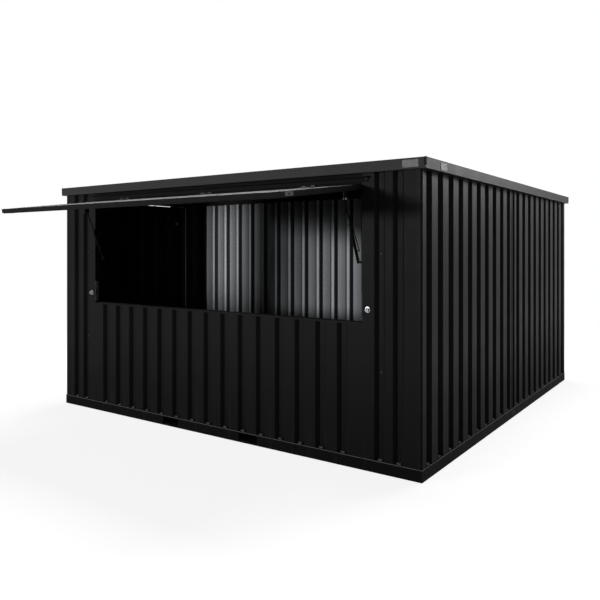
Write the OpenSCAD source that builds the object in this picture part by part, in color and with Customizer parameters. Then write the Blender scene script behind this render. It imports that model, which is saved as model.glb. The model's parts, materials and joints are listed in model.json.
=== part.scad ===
// Container bar: two flat-pack sheet-steel modules side by side, with a wide serving
// hatch in the front wall that opens upward on gas struts. Millimetres, +Z up.
// The origin is the middle of the footprint, on the ground. The front faces -Y.

/* [Overall] */
// Length of the front wall, over the corner posts
body_l = 4050; // [3800:10:4600]
// Depth of one module, over its posts
module_d = 2200; // [2100:10:2500]
// Gap between the posts of the two modules
module_gap = 50; // [30:2:80]
// Height of the whole bar above the ground
body_h = 2300; // [2240:10:2500]

/* [Base frames and floors] */
// Height of a base frame
base_h = 90; // [84:2:110]
// Width of a base frame's top and bottom flanges
base_flange = 80; // [60:5:100]
// Thickness of the folded steel in the frames
frame_t = 4; // [3:0.5:5]
// Width of a fork pocket
fork_w = 195; // [150:5:230]
// Height of a fork pocket
fork_h = 64; // [54:2:68]
// Distance between the centres of the two fork pockets
fork_pitch = 914; // [800:2:1000]
// Width of a floor joist
joist_w = 40; // [30:2:60]
// Thickness of a joist's folded steel
joist_t = 3; // [2:0.5:5]
// Joists between a fork pocket and the end of the base frame
end_joists = 3; // [2:1:4]
// Thickness of the floor boards
floor_t = 18; // [12:1:24]
// Length of a spacer block between the base frames
spacer_l = 120; // [80:10:200]
// Distance from the middle spacer block to the outer ones
spacer_pitch = 1500; // [1200:50:1700]

/* [Posts and walls] */
// Width of a corner post on the long walls
post_x = 41; // [38:1:60]
// Width of a corner post on the end walls
post_y = 30; // [26:1:50]
// Thickness of a post's wall
post_t = 3; // [2:0.5:4]
// Bevel of a post's outer corner
post_bevel = 12; // [8:1:16]
// Thickness of the wall sheets
sheet_t = 3; // [2:0.5:4]
// Depth of the ribs in the wall sheets
rib_depth = 30; // [20:1:34]
// Width of a rib's slope
rib_slope = 25; // [18:1:30]
// How far the wall sheets lie behind the faces of the posts
wall_recess = 3; // [1:0.5:5]
// Width of a groove in the end walls and the doors
end_groove = 105.5; // [90:0.5:112]
// Width of a flat between two of those grooves
end_flat = 109.5; // [96:0.5:112]
// Width of a groove in the inner wall, the rear wall and the roof
long_groove = 101.5; // [90:0.5:112]
// Width of a flat between two of those grooves
long_flat = 102; // [96:0.5:112]
// Least flat at each side of a ribbed sheet
least_edge = 45; // [40:1:60]
// Width of the cover strips in the gap between the modules
strip_t = 4; // [3:0.5:8]
// How far the cover strips lie behind the faces of the posts
strip_recess = 34; // [8:1:36]
// Thickness of the cover blocks between the ends of the base frames
end_block_t = 8; // [6:1:12]

/* [Roof] */
// Height of a roof frame's fascia
fascia_h = 80; // [66:2:90]
// How far the roof stands over the end walls
roof_over_x = 40; // [20:2:60]
// How far the roof stands over the long walls
roof_over_y = 25; // [15:1:40]
// Width of a roof frame's lower flange
roof_flange = 96; // [90:2:120]
// Height of the ribs in the roof sheets
roof_rib = 18; // [12:1:22]
// Depth of the roof sheets below the top of the fascia
roof_drop = 6; // [3:1:10]
// Length of the bare plates near the roof's corner
plate_l = 122; // [80:2:150]
// Height of the bare plates
plate_h = 54; // [40:1:60]
// Thickness of the bare plates
plate_t = 2; // [1:0.5:3]
// Distance from the roof's corner to the front plate
plate_inset_x = 57; // [40:1:90]
// Distance from the roof's corner to the side plate
plate_inset_y = 270; // [150:5:300]

/* [Serving opening] */
// Width of the serving opening
opening_w = 3100; // [2800:10:3200]
// Height of the sill's top above the ground
sill_z = 1100; // [1000:5:1150]
// Height of the header above the hatch
header_h = 76; // [70:1:110]
// Depth of the jambs, the sill and the header
jamb_d = 100; // [95:1:130]
// Height of the sill's front lip
sill_lip = 12; // [8:1:20]
// How far the sill's lip stands in front of the wall sheets
lip_t = 4; // [3:0.5:6]
// Width of a groove in the hatch and in the panel under the sill
front_groove = 93.5; // [86:0.5:96]
// Width of a flat between two of those grooves
front_flat = 103; // [94:0.5:110]
// Width of a groove beside the opening
side_groove = 88; // [80:1:92]
// Width of the flat between the grooves beside the opening
side_flat = 62; // [54:1:72]
// How far the drip rail reaches past the opening at each side
rail_past = 55; // [40:5:70]
// How far the drip rail stands out
rail_out = 32; // [24:1:40]
// Height of the drip rail
rail_h = 30; // [22:1:34]
// Height of the drip rail above the hatch's hinge line
rail_up = 19; // [14:1:20]

/* [Hatch and door leaves] */
// Thickness of a leaf
leaf_t = 36; // [34:1:44]
// Width of the bars round a leaf
bar_w = 30; // [24:1:40]
// Gap between a leaf and the frame round it
leaf_gap = 8; // [6:0.5:10]
// How far a leaf's sheet lies behind its bars
skin_recess = 2; // [1:0.5:3]
// Angle from the closed hatch to the open one
hatch_open = 83; // [75:1:86]
// Number of hinges on the hatch
hatch_hinges = 3; // [3:1:7]
// Distance from the leaf's end to its first hinge
hatch_hinge_in = 460; // [300:10:600]

/* [Hinges] */
// Radius of a hinge knuckle
knuckle_r = 8; // [7:0.5:9]
// Radius of a hinge pin
pin_r = 4; // [3:0.5:4.5]
// Clearance between a pin and its bore
pin_gap = 0.1; // [0.05:0.05:0.2]
// Length of the middle knuckle
knuckle_l = 50; // [20:1:70]
// Length of an outer knuckle
outer_l = 36; // [18:1:50]
// Gap between two knuckles
knuckle_gap = 0.8; // [0.5:0.1:1.5]
// Distance from a leaf's face to the axis of its hinges
axis_out = 10; // [9:0.5:11]
// Distance from a leaf's edge to the axis of its hinges
axis_up = 10; // [9:0.5:12]
// Length of a hinge strap on the leaf
strap_l = 70; // [50:2:100]
// Thickness of a hinge strap
strap_t = 4; // [3:0.5:4.5]

/* [Gas struts] */
// Radius of a strut's barrel
barrel_r = 11; // [9:0.5:13]
// Radius of a strut's rod
rod_r = 5; // [4:0.5:6]
// Length of a barrel, from its lower pivot to its top
barrel_l = 320; // [300:5:330]
// Length of a rod, from its upper pivot down into the barrel
rod_l = 300; // [280:5:320]
// Radius of a strut's end eyes
eye_r = 11; // [10:0.5:13]
// Thickness of a strut's end eyes
eye_t = 10; // [8:1:12]
// Radius of the lower pivot's pin
pivot_r = 5; // [4:0.5:6]
// Distance from the jamb to the middle of a strut
strut_in = 62; // [40:1:80]
// Distance from the hatch's hinge line down to the lower pivot
pivot_down = 594; // [570:2:610]
// Distance from the posts' front face to the lower pivot
pivot_back = 60; // [56:1:66]
// Distance along the hatch from its hinge to the upper pivot
lift_along = 150; // [140:2:160]
// Distance from the hatch's inner face to the upper pivot
lift_off = 60; // [54:1:66]
// Radius of the slim stay beside a strut's barrel
stay_r = 4; // [3:0.5:5]
// Distance from the barrel's middle to the stay's lower end
stay_out = 30; // [24:1:32]
// Distance from the lower pivot to the stay's lower end
stay_from = 90; // [60:5:120]
// Thickness of the strut brackets
bracket_t = 4; // [3:0.5:5]

/* [Locks and keepers] */
// Radius of a lock's rose
rose_r = 23; // [18:1:28]
// Thickness of a lock's rose
rose_t = 6; // [4:1:10]
// Radius of a lock's knob
knob_r = 15; // [12:1:18]
// Length of a lock's knob
knob_l = 18; // [12:1:24]
// Distance from the opening to the middle of a hatch lock
lock_out = 45; // [36:1:48]
// Height of the hatch locks above the sill
lock_up = 100; // [80:5:200]
// Height of a keeper plate on a jamb
keeper_h = 205; // [120:5:260]
// Width of a keeper plate
keeper_w = 36; // [20:1:36]
// Thickness of a keeper plate
keeper_t = 2; // [1:0.5:2]
// Height of the keepers above the sill
keeper_up = 15; // [15:5:80]
// Distance from the posts' front face to the keepers
keeper_back = 4; // [4:1:6]

/* [Doors in the left end] */
// Distance from a module's front post face to its door opening
door_from = 860; // [600:10:900]
// Width of a door opening
door_w = 920; // [850:10:1000]
// Width of a door frame's bars
door_bar = 30; // [24:1:40]
// Height of a door frame's upper bar
door_head = 37; // [30:1:60]
// Depth of a door frame's bars
door_bar_d = 45; // [40:1:60]
// Least flat at each side of a door leaf's sheet
door_edge = 100; // [90:2:120]
// Distance from a leaf's lower and upper end to its end hinges
door_hinge_in = 250; // [200:10:350]
// Distance from a door leaf's free edge to its locks
door_lock_in = 110; // [90:2:130]
// Distance from a door leaf's lower and upper end to its locks
door_lock_end = 205; // [80:1:240]

/* [Hidden] */

$fn = 48;
eps = 1;

// Places of the two modules: 0 is the front one, 1 the rear one.
post_face_x = body_l / 2;
post_face_y = module_d + module_gap / 2;
module_pitch = module_d + module_gap;
function module_y(m) = -post_face_y + m * module_pitch;
wall_face_x = post_face_x - wall_recess;
wall_face_y = post_face_y - wall_recess;
wall_top = body_h - fascia_h;
wall_h = wall_top - base_h;
sheet_depth = rib_depth + sheet_t;

// The serving opening and its hatch.
header_z = wall_top - header_h;
hinge_past = leaf_gap - axis_up;
hatch_axis_y = -post_face_y - axis_out;
hatch_axis_z = header_z - hinge_past;
jamb_face_x = opening_w / 2 - frame_t;
hatch_w = 2 * (jamb_face_x - leaf_gap);
hatch_bottom_z = sill_z + leaf_gap;
hatch_l = header_z - leaf_gap - hatch_bottom_z;

// The doors, measured along Y from the front of their own module.
door_h = wall_h - door_head;
door_leaf_w = door_w - 2 * leaf_gap;
door_leaf_z = base_h + floor_t + leaf_gap;
door_leaf_h = base_h + door_h - leaf_gap - door_leaf_z;
door_axis_y = door_from + hinge_past;

// The struts, seen from the side: [y, z] of each pivot.
strut_x = jamb_face_x - strut_in;
pivot_low = [-post_face_y + pivot_back, hatch_axis_z - pivot_down];
lift_closed = [axis_out + leaf_t + lift_off, -lift_along];
function turned(p, a) = [p[0] * cos(a) - p[1] * sin(a), p[0] * sin(a) + p[1] * cos(a)];
hatch_axis = [hatch_axis_y, hatch_axis_z];
pivot_top = hatch_axis + turned(lift_closed, -hatch_open);
strut_l = norm(pivot_top - pivot_low);
strut_lean = atan2(pivot_low[0] - pivot_top[0], pivot_top[1] - pivot_low[1]);
plate_x = strut_x + eye_t / 2 + 1;

paint = [0.09, 0.09, 0.095];
zinc = [0.62, 0.66, 0.7];
steel = [0.75, 0.76, 0.78];
board = [0.62, 0.5, 0.36];

// ---- Shared shapes ----

// A ribbed sheet's line: flats at y = 0 and grooves at y = depth, along x. It takes as many
// grooves as fit, and what is left over is shared by the flats at its two sides.
function rib_line(length, groove, flat, least, depth, slope) =
    let (ribs = max(1, floor((length - 2 * least + flat) / (groove + flat))))
    let (edge = (length - ribs * groove - (ribs - 1) * flat) / 2)
    concat([[0, 0]],
        [for (i = [0 : ribs - 1], k = [0 : 3])
            let (x = edge + i * (groove + flat))
            [x + [0, slope, groove - slope, groove][k], (k == 1 || k == 2) ? depth : 0]],
        [[length, 0]]);

function backwards(line) = [for (i = [len(line) - 1 : -1 : 0]) line[i]];

// A standing ribbed sheet: its outer face looks to -Y.
module ribbed_sheet(length, height, groove, flat, least = least_edge, depth = rib_depth) {
    line = rib_line(length, groove, flat, least, depth, rib_slope);
    inner = [for (p = backwards(line)) p + [0, sheet_t]];
    linear_extrude(height) polygon(concat(line, inner));
}

// A bar along Z with one bevelled corner, which would be at the origin.
module bevelled_bar(x, y, bevel, h) {
    linear_extrude(h) polygon([[-x, 0], [-bevel, 0], [0, bevel], [0, y], [-x, y]]);
}

// Turns what is drawn as a front wall into a wall of the right end.
module on_right_wall(y) {
    translate([post_face_x, y, 0]) rotate([0, 0, 90]) children();
}

module on_left_wall(y) {
    mirror([1, 0, 0]) on_right_wall(y) children();
}

// A leaf with bars round a ribbed sheet, from x = 0 and z = 0, outer face at y = 0.
module ribbed_leaf_frame(w, h) {
    difference() {
        cube([w, leaf_t, h]);
        translate([bar_w, -eps, bar_w]) cube([w - 2 * bar_w, leaf_t + 2 * eps, h - 2 * bar_w]);
    }
}

module leaf_sheet(w, h, groove, flat, least) {
    translate([bar_w, skin_recess, bar_w])
        ribbed_sheet(w - 2 * bar_w, h - 2 * bar_w, groove, flat, least);
}

// ---- Hinges: the axis lies along X, the closed leaf hangs to -Z, outside is -Y ----

module knuckle(x, l, bore) {
    translate([x, 0, 0]) rotate([0, 90, 0]) difference() {
        cylinder(r = knuckle_r, h = l);
        if (bore) translate([0, 0, -eps]) cylinder(r = pin_r + pin_gap, h = l + 2 * eps);
    }
}

module hinge_lug() {
    reach = knuckle_l / 2 + knuckle_gap + outer_l;
    knuckle(-knuckle_l / 2, knuckle_l, false);
    translate([-knuckle_l / 2, 0, 0]) cube([knuckle_l, axis_out + wall_recess, knuckle_r]);
    translate([-reach, 0, 0]) rotate([0, 90, 0]) cylinder(r = pin_r, h = 2 * reach);
}

module hinge_strap() {
    inner = knuckle_l / 2 + knuckle_gap;
    outer = inner + outer_l;
    neck = knuckle_r + 6;
    tab_y = pin_r + pin_gap + 1;
    for (side = [0, 1]) mirror([side, 0, 0]) {
        knuckle(inner, outer_l, true);
        translate([inner, tab_y, -neck]) cube([outer_l, axis_out - tab_y, neck]);
    }
    translate([-outer, axis_out - strap_t, -strap_l]) cube([2 * outer, strap_t, strap_l - neck]);
}

// ---- Base and floor ----

module base_frame(m) {
    bay = post_face_x - fork_pitch / 2 - fork_w / 2 - 2 * frame_t;
    step = (bay + joist_w) / (end_joists + 1);
    fork_z = (base_h - fork_h) / 2;
    tube_w = fork_w + 2 * frame_t;
    tube_h = fork_h + 2 * frame_t;
    joist_x = concat([0], [for (i = [1 : end_joists], side = [-1, 1])
        side * (post_face_x - frame_t + joist_w / 2 - i * step)]);
    translate([0, module_y(m), 0]) color(paint) difference() {
        union() {
            difference() {
                translate([-post_face_x, 0, 0]) cube([body_l, module_d, base_h]);
                translate([-post_face_x + frame_t, frame_t, frame_t])
                    cube([body_l - 2 * frame_t, module_d - 2 * frame_t, base_h - 2 * frame_t]);
                translate([-post_face_x + base_flange, base_flange, -eps])
                    cube([body_l - 2 * base_flange, module_d - 2 * base_flange, base_h + 2 * eps]);
            }
            for (x = joist_x) translate([x - joist_w / 2, frame_t, frame_t])
                cube([joist_w, module_d - 2 * frame_t, base_h - frame_t]);
            for (side = [-1, 1])
                translate([side * fork_pitch / 2 - tube_w / 2, 0, fork_z - frame_t])
                    cube([tube_w, module_d, tube_h]);
        }
        for (x = joist_x) translate([x - joist_w / 2 + joist_t, 2 * frame_t, frame_t - eps])
            cube([joist_w - 2 * joist_t, module_d - 4 * frame_t, base_h - frame_t - joist_t + eps]);
        for (side = [-1, 1]) translate([side * fork_pitch / 2 - fork_w / 2, -eps, fork_z])
            cube([fork_w, module_d + 2 * eps, fork_h]);
    }
}

module base_spacers() {
    color(paint) for (i = [-1 : 1])
        translate([i * spacer_pitch - spacer_l / 2, -module_gap / 2, 0])
            cube([spacer_l, module_gap, base_h]);
}

module floor_boards(m) {
    margin = max(post_x, post_y, door_bar_d) + wall_recess + 2;
    color(board) translate([-post_face_x + margin, module_y(m) + margin, base_h])
        cube([body_l - 2 * margin, module_d - 2 * margin, floor_t]);
}

// ---- Posts and walls ----

// The pair of corner posts whose outer faces are at y; way is 1 where their module lies
// behind y, and -1 where it lies in front of y.
module posts(y, way) {
    inner_bevel = post_bevel - post_t * (2 - sqrt(2));
    color(paint) for (side = [0, 1]) mirror([side, 0, 0])
        translate([post_face_x, y, base_h]) mirror([0, way < 0 ? 1 : 0, 0]) difference() {
            bevelled_bar(post_x, post_y, post_bevel, wall_h);
            translate([-post_t, post_t, -eps])
                bevelled_bar(post_x - 2 * post_t, post_y - 2 * post_t, inner_bevel, wall_h + 2 * eps);
        }
}

module joint_strips() {
    color(paint) for (side = [0, 1]) mirror([side, 0, 0]) {
        translate([post_face_x - strip_recess - strip_t, -module_gap / 2, base_h])
            cube([strip_t, module_gap, wall_h]);
        translate([post_face_x - end_block_t, -module_gap / 2, 0])
            cube([end_block_t, module_gap, base_h]);
    }
}

module front_wall_side() {
    width = post_face_x - post_x - opening_w / 2;
    color(paint) translate([opening_w / 2, -wall_face_y, base_h])
        ribbed_sheet(width, wall_h, side_groove, side_flat);
}

module front_wall_lower() {
    color(paint) translate([-opening_w / 2, -wall_face_y, base_h])
        ribbed_sheet(opening_w, sill_z - frame_t - base_h, front_groove, front_flat);
}

module front_wall_header() {
    depth = jamb_d - wall_recess;
    color(paint) translate([-opening_w / 2, -wall_face_y, header_z]) difference() {
        cube([opening_w, depth, header_h]);
        translate([-eps, frame_t, frame_t])
            cube([opening_w + 2 * eps, depth, header_h - 2 * frame_t]);
    }
}

module hatch_jambs() {
    depth = jamb_d - wall_recess;
    lip = 24;
    foot_z = sill_z - frame_t;
    color(paint) for (side = [0, 1]) mirror([side, 0, 0])
        translate([jamb_face_x, -wall_face_y, foot_z]) {
            cube([frame_t, depth, header_z - foot_z]);
            translate([0, depth - frame_t, 0]) cube([lip, frame_t, header_z - foot_z]);
        }
}

module hatch_sill() {
    length = 2 * jamb_face_x;
    color(paint) translate([-jamb_face_x, 0, 0]) {
        translate([0, -wall_face_y - lip_t, sill_z - frame_t])
            cube([length, jamb_d - wall_recess + lip_t, frame_t]);
        translate([0, -wall_face_y - lip_t, sill_z - sill_lip]) cube([length, lip_t, sill_lip]);
        translate([0, -post_face_y + jamb_d - frame_t, sill_z - 2 * sill_lip])
            cube([length, frame_t, 2 * sill_lip]);
    }
}

module drip_rail() {
    length = opening_w + 2 * rail_past;
    lip = 9;
    color(paint) translate([-length / 2, -wall_face_y, hatch_axis_z + rail_up]) {
        translate([0, -frame_t, 0]) cube([length, frame_t, rail_h]);
        translate([0, -rail_out, rail_h - frame_t]) cube([length, rail_out, frame_t]);
        translate([0, -rail_out, rail_h - lip]) cube([length, frame_t, lip]);
    }
}

module right_wall(m) {
    color(paint) on_right_wall(module_y(m) + post_y) translate([0, wall_recess, base_h])
        ribbed_sheet(module_d - 2 * post_y, wall_h, end_groove, end_flat);
}

// Part of the left end, between two distances from its module's front.
module left_sheet(m, from, to) {
    color(paint) on_left_wall(module_y(m) + from) translate([0, wall_recess, base_h])
        ribbed_sheet(to - from, wall_h, end_groove, end_flat);
}

module left_front_end(m) {
    left_sheet(m, post_y, door_from - door_bar);
}

module left_back_end(m) {
    left_sheet(m, door_from + door_w + door_bar, module_d - post_y);
}

module doorway_frame(m) {
    outer = door_w + 2 * door_bar;
    color(paint) on_left_wall(module_y(m) + door_from - door_bar)
        translate([0, wall_recess, base_h]) difference() {
            cube([outer, door_bar_d, door_h + door_head]);
            translate([door_bar, -eps, floor_t])
                cube([door_w, door_bar_d + 2 * eps, door_h - floor_t]);
        }
}

module left_wall_rear() {
    left_front_end(1);
    left_back_end(1);
    doorway_frame(1);
}

module long_wall() {
    width = body_l - 2 * post_x;
    translate([-width / 2, -wall_face_y, base_h])
        ribbed_sheet(width, wall_h, long_groove, long_flat);
}

module middle_wall() {
    color(zinc) translate([0, -module_pitch, 0]) mirror([0, 1, 0]) long_wall();
}

module rear_wall() {
    color(paint) mirror([0, 1, 0]) long_wall();
}

// ---- Roof ----

module roof_frame(m) {
    l = body_l + 2 * roof_over_x;
    d = module_d + roof_over_y + module_gap / 2;
    y = (m == 0) ? -post_face_y - roof_over_y : 0;
    ledge_z = fascia_h - roof_drop - roof_rib - sheet_t;
    color(paint) translate([-l / 2, y, wall_top]) difference() {
        cube([l, d, fascia_h]);
        translate([frame_t, frame_t, ledge_z])
            cube([l - 2 * frame_t, d - 2 * frame_t, fascia_h]);
        translate([frame_t, frame_t, frame_t])
            cube([l - 2 * frame_t, d - 2 * frame_t, ledge_z - 2 * frame_t]);
        translate([roof_flange, roof_flange, -eps])
            cube([l - 2 * roof_flange, d - 2 * roof_flange, fascia_h]);
    }
}

module roof_sheet(m) {
    margin = frame_t + 2;
    l = body_l + 2 * roof_over_x - 2 * margin;
    d = module_d + roof_over_y + module_gap / 2 - 2 * margin;
    y = (m == 0) ? -post_face_y - roof_over_y : 0;
    color(paint) translate([-l / 2, y + margin, body_h - roof_drop])
        rotate([-90, 0, 0]) ribbed_sheet(l, d, long_groove, long_flat, depth = roof_rib);
}

module corner_plates() {
    z = wall_top + (fascia_h - plate_h) / 2;
    color(steel) {
        translate([post_face_x + roof_over_x - plate_inset_x - plate_l,
            -post_face_y - roof_over_y - plate_t, z]) cube([plate_l, plate_t, plate_h]);
        translate([post_face_x + roof_over_x, -post_face_y - roof_over_y + plate_inset_y, z])
            cube([plate_t, plate_l, plate_h]);
    }
}

// ---- Locks, keepers and brackets ----

module lock(l) {
    rotate([90, 0, 0]) {
        cylinder(r = rose_r, h = rose_t);
        cylinder(r = knob_r, h = rose_t + l);
    }
}

module hatch_locks() {
    color(steel) for (side = [0, 1]) mirror([side, 0, 0])
        translate([opening_w / 2 + lock_out, -wall_face_y, sill_z + lock_up]) lock(knob_l);
}

module hatch_keepers() {
    color(steel) for (side = [0, 1]) mirror([side, 0, 0])
        translate([jamb_face_x - keeper_t, -post_face_y + keeper_back, sill_z + keeper_up])
            cube([keeper_t, keeper_w, keeper_h]);
}

module strut_brackets() {
    foot_w = 34;
    foot_h = 70;
    collar_x = strut_x + eye_t / 2 + 0.5;
    head_x = strut_x - eye_t / 2 - 0.5;
    head_t = 4;
    color(paint) for (side = [0, 1]) mirror([side, 0, 0]) {
        translate([jamb_face_x - bracket_t, pivot_low[0] - foot_w / 2, pivot_low[1] - foot_h / 2])
            cube([bracket_t, foot_w, foot_h]);
        translate([collar_x, pivot_low[0], pivot_low[1]]) rotate([0, 90, 0])
            cylinder(r = pivot_r + 4, h = jamb_face_x - bracket_t - collar_x);
        translate([head_x, pivot_low[0], pivot_low[1]]) rotate([0, 90, 0])
            cylinder(r = pivot_r, h = jamb_face_x - bracket_t - head_x);
        translate([head_x - head_t, pivot_low[0], pivot_low[1]]) rotate([0, 90, 0])
            cylinder(r = pivot_r + 3, h = head_t);
    }
}

// ---- Hatch: drawn closed, then turned open about its hinge line ----

module open_hatch() {
    translate([0, hatch_axis_y, hatch_axis_z]) rotate([-hatch_open, 0, 0])
        translate([0, -hatch_axis_y, -hatch_axis_z]) children();
}

function hinge_x(i) = -hatch_w / 2 + hatch_hinge_in
    + i * (hatch_w - 2 * hatch_hinge_in) / (hatch_hinges - 1);

module hatch_hinge_lugs() {
    color(paint) for (i = [0 : hatch_hinges - 1])
        translate([hinge_x(i), hatch_axis_y, hatch_axis_z]) hinge_lug();
}

module hatch_hinge_straps() {
    color(paint) open_hatch() for (i = [0 : hatch_hinges - 1])
        translate([hinge_x(i), hatch_axis_y, hatch_axis_z]) hinge_strap();
}

module hatch_frame() {
    foot_h = 60;
    color(paint) open_hatch() {
        translate([-hatch_w / 2, -post_face_y, hatch_bottom_z]) ribbed_leaf_frame(hatch_w, hatch_l);
        for (side = [0, 1]) mirror([side, 0, 0])
            translate([plate_x, -post_face_y + leaf_t, hatch_axis_z - lift_along - foot_h / 2])
                cube([bracket_t, lift_off + eye_r, foot_h]);
    }
}

module hatch_skin() {
    color(paint) open_hatch() translate([-hatch_w / 2, -post_face_y, hatch_bottom_z])
        leaf_sheet(hatch_w, hatch_l, front_groove, front_flat, least_edge);
}

// ---- Gas struts: drawn upright from the lower pivot, then leaned ----

module strut_at(side) {
    translate([side * strut_x, pivot_low[0], pivot_low[1]]) rotate([strut_lean, 0, 0]) children();
}

module eye(bore) {
    rotate([0, 90, 0]) difference() {
        cylinder(r = eye_r, h = eye_t, center = true);
        cylinder(r = bore, h = eye_t + 2 * eps, center = true);
    }
}

// A slim stay beside the barrel, on the jamb's side, that meets it near its top.
module barrel_stay(side) {
    lug_h = 8;
    low = [side * stay_out, stay_from + lug_h / 2];
    high = [side * (barrel_r + stay_r - 1), barrel_l - lug_h];
    run = high - low;
    translate([low[0], 0, low[1]]) rotate([0, atan2(run[0], run[1]), 0])
        cylinder(r = stay_r, h = norm(run));
    translate([min(0, low[0]), -stay_r / 2, stay_from]) cube([stay_out, stay_r, lug_h]);
}

module strut_barrel(side) {
    cap = 16;
    wall = 2;
    color(paint) strut_at(side) difference() {
        union() {
            eye(pivot_r + pin_gap);
            translate([0, 0, eye_r - 1]) cylinder(r = barrel_r, h = barrel_l - eye_r + 1);
            barrel_stay(side);
        }
        translate([0, 0, eye_r + 4]) cylinder(r = barrel_r - wall, h = barrel_l - cap - eye_r - 4);
        translate([0, 0, eye_r + 4]) cylinder(r = rod_r + pin_gap, h = barrel_l);
        rotate([0, 90, 0]) cylinder(r = pivot_r + pin_gap, h = eye_t + 2 * eps, center = true);
    }
}

module strut_rod(side) {
    neck = 1;
    color(paint) strut_at(side) translate([0, 0, strut_l]) {
        eye(pin_r);
        translate([0, 0, -rod_l]) cylinder(r = rod_r, h = rod_l - eye_r + neck);
    }
}

// ---- Doors ----

module door_hinges_at(m) {
    ends = [door_leaf_z + door_hinge_in, door_leaf_z + door_leaf_h - door_hinge_in];
    for (z = [ends[0], (ends[0] + ends[1]) / 2, ends[1]])
        translate([-post_face_x - axis_out, module_y(m) + door_axis_y, z])
            rotate([0, 90, -90]) children();
}

module door_hinge_lugs() {
    color(paint) for (m = [0, 1]) door_hinges_at(m) hinge_lug();
}

module door_leaf(m) {
    color(paint) {
        on_left_wall(module_y(m) + door_from + leaf_gap) translate([0, 0, door_leaf_z]) {
            ribbed_leaf_frame(door_leaf_w, door_leaf_h);
            leaf_sheet(door_leaf_w, door_leaf_h, end_groove, end_flat, door_edge);
        }
        door_hinges_at(m) hinge_strap();
    }
}

module door_locks() {
    zs = [door_leaf_z + door_lock_end, door_leaf_z + door_leaf_h - door_lock_end];
    y = module_y(0) + door_from + door_w - leaf_gap - door_lock_in;
    outer_x = -post_face_x + skin_recess;
    color(steel) for (z = zs) {
        translate([outer_x, y, z]) rotate([0, 0, -90]) lock(knob_l);
        translate([outer_x + sheet_t, y, z]) rotate([0, 0, 90]) lock(knob_l);
    }
}

base_frame(0);  // front_base_frame
base_frame(1);  // rear_base_frame
base_spacers();
floor_boards(0);  // front_floor
floor_boards(1);  // rear_floor
posts(-post_face_y, 1);  // front_posts
union() {  // middle_posts
    posts(-module_gap / 2, -1);
    posts(module_gap / 2, 1);
}
posts(post_face_y, -1);  // rear_posts
joint_strips();
mirror([1, 0, 0]) front_wall_side();  // front_wall_left
front_wall_side();  // front_wall_right
front_wall_lower();
front_wall_header();
hatch_jambs();
hatch_sill();
drip_rail();
right_wall(0);  // right_wall_front
right_wall(1);  // right_wall_rear
left_front_end(0);  // left_wall_front_end
left_back_end(0);  // left_wall_back_end
left_wall_rear();
middle_wall();
rear_wall();
doorway_frame(0);  // door_frame
roof_frame(0);  // front_roof_frame
roof_frame(1);  // rear_roof_frame
roof_sheet(0);  // front_roof
roof_sheet(1);  // rear_roof
hatch_locks();
hatch_keepers();
corner_plates();
strut_brackets();
hatch_hinge_lugs();
door_hinge_lugs();
door_leaf(1);  // rear_door_leaf
hatch_frame();
hatch_skin();
hatch_hinge_straps();
strut_barrel(-1);  // left_strut_barrel
strut_rod(-1);  // left_strut_rod
strut_barrel(1);  // right_strut_barrel
strut_rod(1);  // right_strut_rod
door_leaf(0);
door_locks();
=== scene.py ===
"""Dresses the container bar: two black ribbed sheet-steel modules side by side, with a wide
serving hatch that lifts on gas struts. Metres, +Z up, the serving front faces -Y."""

import json
from math import cos, pi, radians, sin

import bmesh
import bpy
from mathutils import Matrix, Vector


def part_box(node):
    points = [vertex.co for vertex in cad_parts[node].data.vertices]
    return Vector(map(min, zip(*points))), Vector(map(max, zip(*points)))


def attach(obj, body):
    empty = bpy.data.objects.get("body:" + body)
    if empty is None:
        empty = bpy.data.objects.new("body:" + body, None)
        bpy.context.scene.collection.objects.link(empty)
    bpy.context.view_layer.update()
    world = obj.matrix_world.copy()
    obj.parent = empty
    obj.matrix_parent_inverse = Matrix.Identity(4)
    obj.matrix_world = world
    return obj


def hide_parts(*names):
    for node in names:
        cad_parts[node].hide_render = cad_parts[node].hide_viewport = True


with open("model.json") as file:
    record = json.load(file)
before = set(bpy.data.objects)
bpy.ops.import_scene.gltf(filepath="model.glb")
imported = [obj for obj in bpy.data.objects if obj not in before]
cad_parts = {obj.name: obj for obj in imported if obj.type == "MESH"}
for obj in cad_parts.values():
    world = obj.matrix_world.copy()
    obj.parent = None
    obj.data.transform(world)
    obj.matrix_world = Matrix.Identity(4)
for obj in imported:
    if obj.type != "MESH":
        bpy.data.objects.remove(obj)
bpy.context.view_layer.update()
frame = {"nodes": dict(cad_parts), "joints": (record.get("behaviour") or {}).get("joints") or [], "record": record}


def joint_named(name):
    """The joint with this name."""
    return next(joint for joint in frame["joints"] if joint["name"] == name)


# ---- Places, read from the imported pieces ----

POST_LOW, POST_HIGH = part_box("front_posts")
END_X = POST_HIGH.x
FRONT_Y = POST_LOW.y
BASE_TOP = POST_LOW.z
WALL_TOP = POST_HIGH.z
SILL_LOW, SILL_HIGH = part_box("hatch_sill")
SILL_TOP = SILL_HIGH.z
HEADER_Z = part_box("front_wall_header")[0].z
ROOF_LOW, ROOF_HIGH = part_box("front_roof_frame")
ROOF_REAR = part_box("rear_roof_frame")[1].y
RAIL_LOW, RAIL_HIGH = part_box("drip_rail")
MIDDLE_LOW, MIDDLE_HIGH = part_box("middle_wall")
LOCKS_LOW, LOCKS_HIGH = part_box("hatch_locks")
LOCK_Z = (LOCKS_LOW.z + LOCKS_HIGH.z) / 2

# ---- Sizes of the folded sheets and fittings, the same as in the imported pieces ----

RIB_DEPTH = 0.030

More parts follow.
